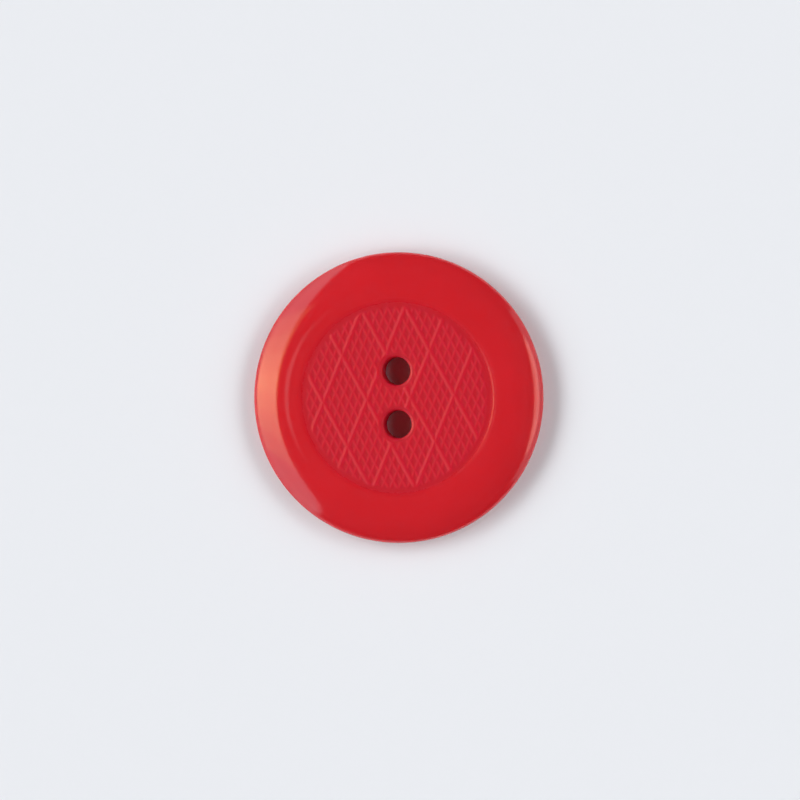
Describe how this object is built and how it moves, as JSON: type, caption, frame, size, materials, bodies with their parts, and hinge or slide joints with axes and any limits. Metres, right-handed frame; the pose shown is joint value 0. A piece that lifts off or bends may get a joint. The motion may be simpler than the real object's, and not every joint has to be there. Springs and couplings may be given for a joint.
{
  "type": "two-hole sew-through button",
  "caption": "Round moulded plastic button with a rounded rim, a shallow dished centre with a raised diamond lattice, and thread holes for sewing it on.",
  "frame": {"origin": "centre of the flat back, where the button lies on the cloth", "axes": "+Z from the back to the face, +Y along the line through the thread holes"},
  "size_m": [0.023, 0.023, 0.003],
  "materials": {
    "button": "glossy rim, softer sheen on the moulded lattice"
  },
  "bodies": {
    "root": {"button": "button"}
  },
  "joints": []
}
